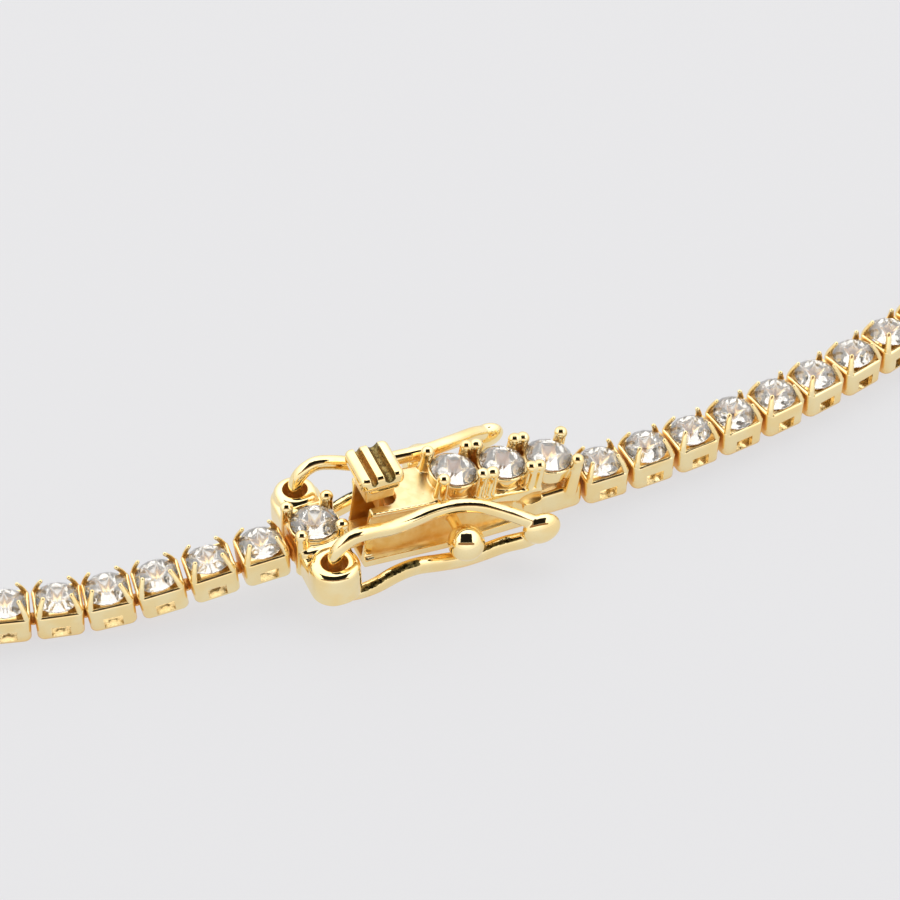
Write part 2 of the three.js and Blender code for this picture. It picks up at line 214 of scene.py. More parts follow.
def rounded_outline(half_x: float, half_y: float, radius: float, steps: int) -> np.ndarray:
    """The outline of a rounded rectangle about the origin.

    Args:
        half_x: Half its size along X.
        half_y: Half its size along Y.
        radius: The radius of its corners.
        steps: The spans in each corner.

    Returns:
        Points by two, anticlockwise.
    """
    points = []
    for corner, (sx, sy) in enumerate([(1, 1), (-1, 1), (-1, -1), (1, -1)]):
        for step in range(steps + 1):
            a = (corner + step / steps) * math.pi / 2
            points.append((sx * (half_x - radius) + radius * math.cos(a),
                           sy * (half_y - radius) + radius * math.sin(a)))
    return np.array(points)


def slab(low: Point, high: Point, corner: float, rim: float) -> Form:
    """A block with rounded corners in plan and rounded rims.

    Args:
        low: Its lowest corner.
        high: Its highest corner.
        corner: The radius of its upright edges.
        rim: The radius of its top and bottom edges.

    Returns:
        The block.
    """
    sharpest = 0.02
    middle, half = (np.array(high) + low)[:2] / 2, (np.array(high) - low)[:2] / 2
    quarter = np.linspace(0, math.pi / 2, 5)
    levels = [(rim * (1 - math.sin(a)), low[2] + rim * (1 - math.cos(a))) for a in quarter]
    levels += [(rim * (1 - math.cos(a)), high[2] - rim * (1 - math.sin(a))) for a in quarter]
    return loft([level(rounded_outline(*(half - inset), max(corner - inset, sharpest), 8)
                       + middle, z) for inset, z in levels])


def side_prism(outline: Sequence[Pair], half_width: float) -> Form:
    """A side view of x and z given a width across Y."""
    return loft([np.insert(np.array(outline, float), 1, y, axis=1)
                 for y in (-half_width, half_width)])


def eased(form: Form, radius: float) -> Form:
    """A form with its sharp edges rounded.

    Args:
        form: The form.
        radius: The radius of the rounding.

    Returns:
        The eased form.
    """
    work = bmesh.new()
    work.from_mesh(form.mesh("eased"))
    sharp = [edge for edge in work.edges if edge.calc_face_angle(0) > math.radians(20)]
    bmesh.ops.bevel(work, geom=sharp, offset=radius, segments=4, profile=0.5,
                    affect="EDGES", clamp_overlap=True)
    work.verts.index_update()
    result = Form(np.array([tuple(v.co) for v in work.verts]),
                  [tuple(v.index for v in face.verts) for face in work.faces])
    work.free()
    return result


def smooth_line(points: list[Point], spans: int) -> np.ndarray:
    """A smooth line through points.

    Args:
        points: What the line passes through.
        spans: The spans between one point and the next.

    Returns:
        Points by three along the line.
    """
    p = np.array(points, float)
    p = np.concatenate([[2 * p[0] - p[1]], p, [2 * p[-1] - p[-2]]])
    line = []
    for i in range(1, len(p) - 2):
        for step in range(spans):
            t = step / spans
            line.append(0.5 * (2 * p[i] + (p[i + 1] - p[i - 1]) * t
                               + (2 * p[i - 1] - 5 * p[i] + 4 * p[i + 1] - p[i + 2]) * t ** 2
                               + (3 * p[i] - p[i - 1] - 3 * p[i + 1] + p[i + 2]) * t ** 3))
    line.append(p[-2])
    return np.array(line)


def swept(line: np.ndarray, across: np.ndarray, up: np.ndarray, facing: Point,
          sides: int, squareness: float = 1.0) -> Form:
    """A bar swept along a line, with rounded ends.

    Args:
        line: Points by three along its middle.
        across: Half its width at each point, square to facing.
        up: Half its depth at each point, towards facing.
        facing: The way that its depth is measured, never along the line.
        sides: The number of sides of its section.
        squareness: 1 for an oval section, and less for a squarer one.

    Returns:
        The bar.
    """
    along = np.gradient(line, axis=0)
    along /= np.linalg.norm(along, axis=1)[:, None]
    side = np.cross(np.array(facing, float), along)
    side /= np.linalg.norm(side, axis=1)[:, None]
    rise = np.cross(along, side)
    angles = np.linspace(0, 2 * math.pi, sides, endpoint=False)
    cos, sin = np.cos(angles), np.sin(angles)
    flat = np.sign(cos) * np.abs(cos) ** squareness
    tall = np.sign(sin) * np.abs(sin) ** squareness
    rings = [point + np.outer(flat * a, s) + np.outer(tall * u, r)
             for point, a, u, s, r in zip(line, across, up, side, rise)]
    reach = np.minimum(across, up)[:, None] * along
    return loft(end_rings(rings[0], line[0], -reach[0])[::-1] + rings
                + end_rings(rings[-1], line[-1], reach[-1]))


def end_rings(ring: np.ndarray, centre: np.ndarray, reach: np.ndarray) -> list[np.ndarray]:
    """The shrinking rings that round off an end."""
    return [centre + (ring - centre) * math.cos(a) + reach * math.sin(a)
            for a in (0.4, 0.8, 1.2, 1.5)]


def laid_across(x: float, y: float, z: float, way: int) -> Matrix:
    """A place whose Z axis lies along Y, forwards for a way of 1 and backwards for -1."""
    return Matrix.Translation((x, y, z)) @ Matrix.Rotation(-way * math.pi / 2, 4, "X")


@dataclass(frozen=True)
class Block:
    """A block across the clasp's centre line, with rounded upright edges and rims."""

    x: Pair
    half_width: float
    z: Pair
    corner: float
    rim: float

    def form(self) -> Form:
        """The block."""
        return slab((self.x[0], -self.half_width, self.z[0]),
                    (self.x[1], self.half_width, self.z[1]), self.corner, self.rim)


@dataclass
class Casting:
    """Parts melted into one body, then cuts, then additions, and its edges polished round."""

    parts: list[Form]
    cuts: list[Form]
    additions: list[Form] = field(default_factory=list)
    voxel: float = 0.045
    polish: int = 14
    kept_share: float = 0.35

    def mesh(self, name: str) -> bpy.types.Mesh:
        """The finished mesh, in millimetres.

        Args:
            name: The mesh's name.

        Returns:
            One closed skin.
        """
        body = self._thing(self.parts[0], name)
        helpers = [body]
        steps = [(part, "UNION") for part in self.parts[1:]]
        steps += [(cut, "DIFFERENCE") for cut in self.cuts]
        steps += [(part, "UNION") for part in self.additions]
        for form, operation in steps:
            helpers.append(self._thing(form, name + "_helper"))
            self._modify(body, "BOOLEAN", object=helpers[-1], operation=operation,
                         solver="MANIFOLD")
        self._modify(body, "REMESH", mode="VOXEL", voxel_size=self.voxel)
        self._modify(body, "SMOOTH", factor=0.5, iterations=self.polish)
        self._modify(body, "DECIMATE", ratio=self.kept_share)
        bpy.context.view_layer.update()
        depsgraph = bpy.context.evaluated_depsgraph_get()
        mesh = bpy.data.meshes.new_from_object(body.evaluated_get(depsgraph))
        mesh.name = name
        for helper in helpers:
            bpy.data.objects.remove(helper)
        return mesh

    @staticmethod
    def _modify(thing: bpy.types.Object, kind: str, **settings: object) -> None:
        """Adds a modifier.

        Args:
            thing: The object that it is added to.
            kind: The modifier's kind.
            settings: Its settings.
        """
        modifier = thing.modifiers.new(kind.lower(), kind)
        for name, value in settings.items():
            setattr(modifier, name, value)

    @staticmethod
    def _thing(form: Form, name: str) -> bpy.types.Object:
        """A temporary object.

        Args:
            form: Its form.
            name: Its name.

        Returns:
            The object, in the scene.
        """
        thing = bpy.data.objects.new(name, form.mesh(name))
        bpy.context.scene.collection.objects.link(thing)
        return thing


# ---- finishes -----------------------------------------------------------


@dataclass
class NodeSheet:
    """Short ways to add nodes to a node tree."""

    tree: bpy.types.NodeTree

    def feed(self, node: bpy.types.Node, inputs: dict[str | int, object]) -> None:
        """Links or sets a node's inputs.

        Args:
            node: The node.
            inputs: For each input a socket, a number, a colour or a vector.
        """
        for key, source in inputs.items():
            socket = node.inputs[key]
            if isinstance(source, Socket):
                self.tree.links.new(source, socket)
            elif socket.type == "RGBA":
                socket.default_value = (*source, 1)
            else:
                socket.default_value = source

    def add(self, kind: str, inputs: dict[str | int, object], output: str | int,
            **settings: object) -> Socket:
        """Adds a node.

        Args:
            kind: The node's kind, without its first word.
            inputs: What its inputs are fed with.
            output: The name or the number of the output that is wanted.
            settings: The node's other settings.

        Returns:
            The wanted output.
        """
        node = self.tree.nodes.new("ShaderNode" + kind)
        for name, value in settings.items():
            setattr(node, name, value)
        self.feed(node, inputs)
        return node.outputs[output]

    def math(self, operation: str, first: object, second: object = 0.0) -> Socket:
        """The result of a math node, for numbers or sockets."""
        return self.add("Math", {0: first, 1: second}, 0, operation=operation)

    def dot(self, place: Socket, axis: Vector) -> Socket:
        """How far a vector reaches along an axis."""
        return self.add("VectorMath", {0: place, 1: axis}, "Value", operation="DOT_PRODUCT")

    def step(self, value: Socket, low: float, high: float) -> Socket:
        """A soft step from 0 at low to 1 at high, which may be on either side of low."""
        return self.add("MapRange", {"Value": value, "From Min": low, "From Max": high},
                        "Result", interpolation_type="SMOOTHSTEP")

    def span(self, value: Socket, low: float, high: float) -> Socket:
        """A value from 0 to 1 spread between two others."""
        return self.math("ADD", self.math("MULTIPLY", value, high - low), low)

    def noise(self, place: Socket, size_mm: float) -> Socket:
        """A noise over the piece with features of a size in millimetres."""
        return self.add("TexNoise", {"Scale": 1 / (size_mm * MM), "Detail": 3.0,
                                     "Vector": place}, "Fac")

    def blend(self, share: Socket, first: object, second: object) -> Socket:
        """A colour between two, with a share of the second."""
        return self.add("Mix", {0: share, 6: first, 7: second}, 2, data_type="RGBA")


def blank_material(name: str) -> tuple[bpy.types.Material, NodeSheet, bpy.types.Node]:
    """A new material.

    Args:
        name: Its name.

    Returns:
        The material, its nodes, and its main shader.
    """
    material = bpy.data.materials.new(name)
    material.use_nodes = True
    return material, NodeSheet(material.node_tree), material.node_tree.nodes["Principled BSDF"]


@dataclass(frozen=True)
class GoldPlate:
    """Polished yellow gold plate over cast metal, rougher in hollows, with painted shade there:
    a deeper orange tone.
    """

    name: str
    pale: Colour = (1.0, 0.84, 0.48)
    deep: Colour = (1.0, 0.78, 0.38)
    # Painted shade: the deeper orange laid on hollows, where the gold lies in shade.
    hollow_shade_tone: Colour = (0.92, 0.55, 0.16)
    smooth: float = 0.04
    hazy: float = 0.1
    shelter_haze: float = 0.45
    shelter_reach_mm: float = 1.2
    shelter_step: Pair = (0.62, 0.16)
    tone_step: Pair = (0.35, 0.65)
    ripple_mm: float = 0.9
    grain_mm: float = 0.09
    grain_height_mm: float = 0.0012

    def material(self) -> bpy.types.Material:
        """The finish as a Blender material.

        Returns:
            Metal whose tone, gloss and skin vary a little from place to place, with painted
            shade of a deeper orange in its hollows.
        """
        material, sheet, shader = blank_material(self.name)
        place = sheet.add("TexCoord", {}, "Object")
        # Ambient occlusion finds the hollows, which get painted shade in the colour and more
        # roughness there.
        openness = sheet.add("AmbientOcclusion", {"Distance": self.shelter_reach_mm * MM},
                             "AO", samples=4)
        shelter = sheet.step(openness, *self.shelter_step)
        tone = sheet.step(sheet.noise(place, self.ripple_mm * 2), *self.tone_step)
        haze = sheet.span(sheet.noise(place, self.ripple_mm), self.smooth, self.hazy)
        grain = sheet.add("Bump", {"Distance": self.grain_height_mm * MM,
                                   "Height": sheet.noise(place, self.grain_mm)}, "Normal")
        sheet.feed(shader, {
            "Metallic": 1.0,
            "Base Color": sheet.blend(shelter, sheet.blend(tone, self.deep, self.pale),
                                      self.hollow_shade_tone),
            "Roughness": sheet.math("ADD", haze,
                                    sheet.math("MULTIPLY", shelter, self.shelter_haze)),
            "Normal": grain})
        return material


@dataclass(frozen=True)
class ClearCrystal:
    """Colourless cut stone."""

    name: str
    index: float = 2.05
    clearness: float = 0.86
    clear: Colour = (1.0, 0.97, 0.91)
    faint: Colour = (0.97, 0.93, 0.86)
    patch_mm: float = 1.2
    tone_step: Pair = (0.3, 0.7)

    def material(self) -> bpy.types.Material:
        """The stone as a Blender material.

        Returns:
            Clear glass of a high index with a faint change of tone from stone to stone.
        """
        material, sheet, shader = blank_material(self.name)
        place = sheet.add("TexCoord", {}, "Object")
        tone = sheet.step(sheet.noise(place, self.patch_mm), *self.tone_step)
        sheet.feed(shader, {"Roughness": 0.0, "IOR": self.index,
                            "Transmission Weight": self.clearness,
                            "Base Color": sheet.blend(tone, self.faint, self.clear)})
        return material


@dataclass(frozen=True)
class GlowingSheet:
    """A plain pale sheet that glows a little, as if lit from below."""

    name: str
    tone: Colour = (0.14, 0.1386, 0.14)
    roughness: float = 0.6
    shine: float = 0.2
    glow: float = 0.648
    glow_tone: Colour = (1.0, 1.0, 1.02)

    def material(self) -> bpy.types.Material:
        """The sheet as a Blender material.

        Returns:
            The material.
        """
        material, sheet, shader = blank_material(self.name)
        sheet.feed(shader, {"Base Color": self.tone, "Roughness": self.roughness,
                            "Specular IOR Level": self.shine,
                            "Emission Color": self.glow_tone,
                            "Emission Strength": self.glow})
        return material


class Finish(Enum):
    """The necklace's finishes: gold in the open; near-black painted shade in grooves; satin
    gold on decks; deeper orange painted shade in hollows; stone.
    """

    GOLD = GoldPlate("gold_plate")
    # Painted shade: near-black gold for the thumb's groove floors and the catches' lower legs,
    # where the gold lies in shade; it is rougher too.
    ROUGH_DARK_SHADE = GoldPlate(
        "gold_plate_rough_dark_shade", pale=(0.28, 0.22, 0.08), deep=(0.02, 0.015, 0.005),
        smooth=0.25, hazy=0.45, ripple_mm=0.09, grain_mm=0.12, grain_height_mm=0.01)
    SATIN = GoldPlate(
        "gold_plate_satin", pale=(0.8, 0.66, 0.38), deep=(0.73, 0.58, 0.3), smooth=0.24,
        hazy=0.36, ripple_mm=0.25)
    # Painted shade: a deeper orange gold for the mouth, coves, dent, stem and tongue, where the
    # gold lies in shade; it is rougher too.
    SHADED = GoldPlate(
        "gold_plate_shaded", pale=(1.0, 0.72, 0.3), deep=(0.93, 0.6, 0.19),
        hollow_shade_tone=(1.0, 0.66, 0.22), smooth=0.22, hazy=0.42, ripple_mm=0.3)
    CRYSTAL = ClearCrystal("clear_crystal")


# ---- putting pieces in the scene ----------------------------------------


@dataclass
class Patch:
    """A finish for the faces that a test of their centre and normal picks."""

    finish: Finish
    where: Callable[[Vector, Vector], bool]


@dataclass
class Bench:
    """Where the clasp lies in the frame, and how finished pieces are set down there."""

    origin: Vector
    materials: dict[Finish, bpy.types.Material]

    @staticmethod
    def from_frame() -> "Bench":
        """The bench for this frame, whose clasp starts at the end bar's stone.

        Returns:
            The bench, with a material for each finish.
        """
        low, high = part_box("end_bar_stone")
        middle = (low + high) / 2 / MM
        return Bench(Vector((middle.x, middle.y, 0)),
                     {finish: finish.value.material() for finish in Finish})

    def set_down(self, name: str, mesh: bpy.types.Mesh, body: Body, nodes: list[str],
                 finish: Finish = Finish.GOLD, crease_deg: float = 180,
                 patches: tuple[Patch, ...] = ()) -> None:
        """Makes a piece of a mesh in clasp millimetres.

        Args:
            name: The piece's name.
            mesh: Its mesh.
            body: The body that it rides on.
            nodes: The CAD nodes that it stands for.
            finish: Its main finish. Gold is shaded as a curved skin, and crystal is flat.
            crease_deg: The angle between two faces from which their edge stays sharp.
            patches: Other finishes for some of its faces, the last one on top.
        """
        numbers = [0] * len(mesh.polygons)
        for number, patch in enumerate(patches, start=1):
            for face in mesh.polygons:
                if patch.where(face.center, face.normal):
                    numbers[face.index] = number
        mesh.transform(Matrix.Scale(MM, 4) @ Matrix.Translation(self.origin))
        curved = finish is not Finish.CRYSTAL
        mesh.polygons.foreach_set("use_smooth", [curved] * len(mesh.polygons))
        mesh.set_sharp_from_angle(angle=math.radians(crease_deg))
        mesh.materials.clear()
        for used in (finish, *(patch.finish for patch in patches)):
            mesh.materials.append(self.materials[used])
        mesh.polygons.foreach_set("material_index", numbers)
        piece = bpy.data.objects.new(name, mesh)
        bpy.context.scene.collection.objects.link(piece)
        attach(piece, body.value)
        if nodes:
            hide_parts(*nodes)
        LOG.info("%s: %d faces on %s", name, len(mesh.polygons), body.value)


# ---- stones and settings ------------------------------------------------


@dataclass
class Brilliant:
    """A round stone with a table, eight kites, star and girdle facets, and a pavilion."""

    radius: float = 1.25
    table_radius: float = 0.72
    star_radius: float = 0.96
    lower_radius: float = 0.3
    crown: float = 0.4
    girdle: float = 0.04
    depth: float = 1.05

    def form(self) -> Form:
        """The stone about the centre of its girdle, table up.

        Returns:
            A closed form of flat facets.
        """
        across_flats = math.cos(math.pi / 8)
        slope = (self.crown - self.girdle) / (self.radius - self.table_radius)
        star_z = self.crown - slope * (self.star_radius * across_flats - self.table_radius)
        rise = (self.depth - self.girdle) / self.radius
        lower_z = -self.depth + rise * self.lower_radius * across_flats
        rings = [
            self._ring(8, self.table_radius, self.crown, 0),
            self._ring(8, self.star_radius, star_z, 1),
            self._ring(16, self.radius, self.girdle, 0),
            self._ring(16, self.radius, -self.girdle, 0),
            self._ring(8, self.lower_radius, lower_z, 1),
            np.array([[0, 0, -self.depth]]),
        ]
        table, star, top, bottom, lower, culet = 0, 8, 16, 32, 48, 56
        faces: list[tuple[int, ...]] = [tuple(range(table, table + 8))]
        for k in range(8):
            after, before = (k + 1) % 8, (k - 1) % 8
            here, middle, there = 2 * k, 2 * k + 1, (2 * k + 2) % 16
            faces += [
                (table + k, star + k, table + after),
                (table + k, star + before, top + here, star + k),
                (star + k, top + here, top + middle),
                (star + k, top + middle, top + there),
                (top + here, bottom + here, bottom + middle, top + middle),
                (top + middle, bottom + middle, bottom + there, top + there),
                (bottom + here, lower + k, bottom + middle),
                (bottom + middle, lower + k, bottom + there),
                (culet, lower + k, bottom + here, lower + before),
            ]
        return Form(np.concatenate(rings), faces)

    @staticmethod
    def _ring(count: int, radius: float, z: float, half_turns: int) -> np.ndarray:
        """Points round the axis, turned by so many sixteenths of a turn."""
        angles = 2 * math.pi * (np.arange(count) / count + half_turns / 16)
        return level(radius * np.stack([np.cos(angles), np.sin(angles)], axis=1), z)


@dataclass
class BasketLink:
    """One square basket with a claw grown up from each corner and a window in two walls."""

    half_size: float = 1.17
    extra_half_length: float = 0.11
    corner_radius: float = 0.42
    wall: float = 0.27
    rim_height: float = 1.64
    end_wall_rise: float = 0.1
    taper: float = 0.05
    round_over: float = 0.09
    window_half: float = 0.4
    window_low: float = 0.2
    window_high: float = 0.86
    seat_half: float = 0.32
    seat_corner: float = 0.2
    seat_overlap: float = 0.05
    seat_bottom: float = 0.04
    seat_top: float = 0.16
    claw_foot: float = 1.2
    claw_height: float = 2.56
    claw_offset: float = 0.945
    claw_half_width: Pair = (0.2, 0.13)
    claw_half_depth: Pair = (0.135, 0.11)
    claw_steps: int = 8
    claw_sides: int = 10
    lean_start: float = 1.6
    lean: float = 0.32
    lean_curve: float = 1.4
    girdle_height: float = 1.87
    stone_scale: float = 0.91
    bead_height: float = 0.55
    bead_radii: Point = (0.3, 0.42, 0.22)

    # Round each corner: distances from its middle along the wall.
    corner_steps: tuple[float, ...] = (
        -0.5, -0.33, -0.25, -0.17, -0.08, 0.0, 0.08, 0.17, 0.25, 0.33, 0.5)

    def form(self, pitch: float) -> Form:
        """The metal of a link about the middle of its base.

        Args:
            pitch: The distance from one link to the next.

        Returns:
            The basket, its seat, and the joining bead beyond its far wall.
        """
        claws = [self._claw(way_x, way_y) for way_x in (-1, 1) for way_y in (-1, 1)]
        metal = self._basket().joined(self._seat(), *claws)
        metal.points[:, 0] += np.sign(metal.points[:, 0]) * self.extra_half_length
        return metal.joined(ball((pitch / 2, 0, self.bead_height), self.bead_radii, 12))

    def _seat(self) -> Form:
        """The flat ring that closes most of the basket's bottom.

        Returns:
            The ring.
        """
        outer = self.half_size - self.wall + self.seat_overlap
        section = ((self.seat_half, self.seat_bottom), (outer, self.seat_bottom),
                   (outer, self.seat_top), (self.seat_half, self.seat_top))
        return loft([level(rounded_outline(half, half, self.seat_corner, 4), z)
                     for half, z in section], endless=True)

    def _claw(self, way_x: int, way_y: int) -> Form:
        """The claw that grows up a corner and leans in over the stone.

        Args:
            way_x: The sign of X at the corner.
            way_y: The sign of Y at the corner.

        Returns:
            The claw.
        """
        heights = np.linspace(self.claw_foot, self.claw_height, self.claw_steps)
        rise = np.clip((heights - self.lean_start) / (self.claw_height - self.lean_start), 0, 1)
        offset = self.claw_offset - self.lean * rise ** self.lean_curve
        line = np.column_stack([offset * way_x, offset * way_y, heights])
        across = np.interp(rise, (0, 1), self.claw_half_width)
        depth = np.interp(rise, (0, 1), self.claw_half_depth)
        return swept(line, across, depth, (way_x, way_y, 0), self.claw_sides)

    def _basket(self) -> Form:
        """The walls with their windows.

        Returns:
            An outer and an inner skin, joined at the base, the rim and the windows' edges.
        """
        feet, outward, rise, at_window = map(np.array, zip(*self._columns()))
        skins = [self._skin(feet, outward, rise, inner) for inner in (False, True)]
        rows, count = len(skins[0]), len(feet)
        outer, inner = np.arange(2 * rows * count).reshape(2, rows, count).tolist()
        window_row = 2
        faces: list[tuple[int, ...]] = []
        for i in range(count):
            j = (i + 1) % count
            for row in range(rows - 1):
                loop = [(row, i), (row, j), (row + 1, j), (row + 1, i)]
                if row == window_row and at_window[i] and at_window[j]:
                    faces += [(outer[r][a], outer[s][b], inner[s][b], inner[r][a])
                              for (r, a), (s, b) in zip(loop, loop[1:] + loop[:1])]
                else:
                    faces += [tuple(skin[r][k] for r, k in loop) for skin in (outer, inner)]
            faces += [(outer[row][i], outer[row][j], inner[row][j], inner[row][i])
                      for row in (0, -1)]
        return Form(np.concatenate(skins[0] + skins[1]), faces)

    def _columns(self) -> list[tuple[np.ndarray, np.ndarray, float, bool]]:
        """The upright lines of the walls.

        Returns:
            For each its foot on the outer skin, the way outwards, how much higher the rim
            is there, and whether it is the edge of a window.
        """
        columns = []
        for corner in range(4):
            turn = corner * math.pi / 2
            frame = np.array([[math.cos(turn), math.sin(turn)],
                              [-math.sin(turn), math.cos(turn)]])
            has_window = corner % 2 == 0
            for along in self.corner_steps:
                foot, outward = self._corner_point(along)
                rise = self.end_wall_rise if (along > 0) != has_window else 0.0
                columns.append((foot @ frame, outward @ frame, rise, False))
            for shift in (self.window_half, -self.window_half):
                foot, outward = np.array([shift, self.half_size]), np.array([0.0, 1.0])
                rise = 0.0 if has_window else self.end_wall_rise
                columns.append((foot @ frame, outward @ frame, rise, has_window))
        return columns

    def _corner_point(self, along: float) -> tuple[np.ndarray, np.ndarray]:
        """A place on the outer skin near the corner where x and y are above zero.

        Args:
            along: The distance along the wall from the corner's middle.

        Returns:
            The place and the way outwards there.
        """
        half_arc = self.corner_radius * math.pi / 4
        angle = math.pi / 4 + max(-1.0, min(1.0, along / half_arc)) * math.pi / 4
        outward = np.array([math.cos(angle), math.sin(angle)])
        foot = outward * self.corner_radius + self.half_size - self.corner_radius
        foot[0 if along > 0 else 1] -= max(0.0, abs(along) - half_arc)
        return foot, outward

    def _skin(self, feet: np.ndarray, outward: np.ndarray, rise: np.ndarray,
              inner: bool) -> list[np.ndarray]:
        """The points of the outer or the inner skin.

        Args:
            feet: The upright lines' feet on the outer skin.
            outward: The way outwards at each.
            rise: How much higher the rim is at each.
            inner: Whether it is the inner skin.

        Returns:
            Rows of points from the bottom to the rim.
        """
        top = self.rim_height + rise
        heights = [np.full(len(feet), z) for z in (0.0, self.round_over, self.window_low,
                                                   self.window_high)]
        heights += [top - 2 * self.round_over, top - self.round_over, top]
        rows = []
        for row, z in enumerate(heights):
            ends = self.round_over if row in (0, len(heights) - 1) else 0.0
            inset = self.wall - ends if inner else ends
            girth = 1 - self.taper * np.maximum(0, 1 - z / self.rim_height)
            rows.append(np.column_stack([(feet - outward * inset) * girth[:, None], z]))
        return rows


@dataclass
class ProngHead:
    """Four round posts with domed tips about a stone, standing round a cup."""

    offset: float = 1.11
    post_radius: float = 0.33
    post_spread: float = 1.15
    tip_radius: float = 0.37
    tip_flatness: float = 0.95
    tip_height: float = 0.42
    well_radius: float = 1.29
    well_top: float = 0.04
    cup: tuple[Pair, ...] = (
        (1.1, -1.1), (1.2, -0.95), (1.28, -0.5), (1.35, -0.22), (1.37, -0.12), (1.3, -0.06))

    def parts(self, place: Matrix, post_depth: float) -> list[Form]:
        """The head's parts at a place on the clasp.

        Args:
            place: The centre of the stone's girdle.
            post_depth: How far the posts reach below it.

        Returns:
            The cup, posts and tips.
        """
        made = [turned(self.cup, 64)]
        post = turned([(self.post_radius * self.post_spread, -post_depth),
                       (self.post_radius, self.tip_height)], 24)
        tip = (self.tip_radius, self.tip_radius, self.tip_radius * self.tip_flatness)
        for x in (-self.offset, self.offset):
            for y in (-self.offset, self.offset):
                made.append(post.moved(Matrix.Translation((x, y, 0))))
                made.append(ball((x, y, self.tip_height), tip, 24))
        return [form.moved(place) for form in made]

    def well(self, place: Matrix, bottom: Pair) -> Form:
        """The tapered hole under the stone, whose bottom has a radius and a height."""
        return turned([bottom, (self.well_radius, self.well_top)], 48).moved(place)


# ---- clasp --------------------------------------------------------------


@dataclass
class EndBar:
    """The end bar: a rounded block with a drilled ear at each end, a stone and a tongue."""

    half_length: float = 1.35
    bottom: float = 1.15
    top: float = 2.75
    corner: float = 1.2
    rim: float = 0.24
    ear_y: float = 2.84
    ear_top: float = 3.2
    ear_inner_y: float = 1.59
    ear_outer_y: float = 4.16
    ear_corner_trim: float = 0.08
    ear_rim: float = 0.4
    hole_radius: float = 0.62
    flare_depth: float = 0.4
    front_flare: float = 0.72
    back_flare: float = 0.66
    back_trim: float = 0.2
    middle: Block = Block(x=(-1.35, 1.35), half_width=1.75, z=(1.15, 3.1), corner=0.4, rim=0.2)
    neck: Block = Block(x=(-1.5, 0), half_width=0.6, z=(1.5, 2.5), corner=0.1, rim=0.1)
    tongue: Block = Block(x=(1.0, 6.2), half_width=0.85, z=(1.5, 1.85), corner=0.1, rim=0.06)
    stone_z: float = 3.4
    post_depth: float = 2.15
    well_bottom: Pair = (0.5, -2.4)

    def build(self, bench: Bench) -> None:
        """Makes the bar and its stone.

        Args:
            bench: Where it is set down.
        """
        place = Matrix.Translation((0, 0, self.stone_z))
        head = ProngHead()
        block = slab((-self.half_length, -self.ear_outer_y, self.bottom),
                     (self.half_length, self.ear_outer_y - self.back_trim, self.top),
                     self.corner, self.rim)
        parts = [block, self.middle.form(), self.neck.form(), self.tongue.form(),
                 *head.parts(place, self.post_depth),
                 self._ear(Side.FRONT), self._ear(Side.BACK)]
        cuts = [self._ear_hole(Side.FRONT, self.front_flare),
                self._ear_hole(Side.BACK, self.back_flare),
                head.well(place, self.well_bottom)]
        # The tongue gets the deeper orange painted shade.
        bench.set_down("end_bar_cast", Casting(parts, cuts).mesh("end_bar"), Body.NECKLACE,
                       ["end_bar"],
                       patches=(Patch(Finish.SHADED, self._on_tongue),))
        stone = Brilliant().form().moved(place).mesh("end_bar_stone")
        bench.set_down("end_bar_brilliant", stone, Body.NECKLACE, ["end_bar_stone"],
                       Finish.CRYSTAL)

    def _on_tongue(self, centre: Vector, _: Vector) -> bool:
        """Whether a face lies on the tongue."""
        return centre.x > self.half_length and centre.z < self.top

    def _ear(self, side: Side) -> Form:
        """The raised end on one side, a little smaller at the back.

        Args:
            side: The side.

        Returns:
            The ear.
        """
        trim = self.back_trim if side == Side.BACK else 0
        y0, y1 = sorted((side.value * self.ear_inner_y,
                         side.value * (self.ear_outer_y - trim)))
        length = self.half_length - trim
        return slab((-length, y0, self.bottom), (length, y1, self.ear_top),
                    length - self.ear_corner_trim, self.ear_rim)

    def _ear_hole(self, side: Side, flare: float) -> Form:
        """The drilled hole of one ear.

        Args:
            side: The side.
            flare: The hole's radius at the top.

        Returns:
            The hole, which reaches above and below the ear.
        """
        profile = [(self.hole_radius, 0.0), (self.hole_radius, self.ear_top - self.flare_depth),
                   (flare, self.ear_top + 0.02), (flare, self.ear_top + 1)]
        return turned(profile, 48).moved(Matrix.Translation((0, side.value * self.ear_y, 0)))


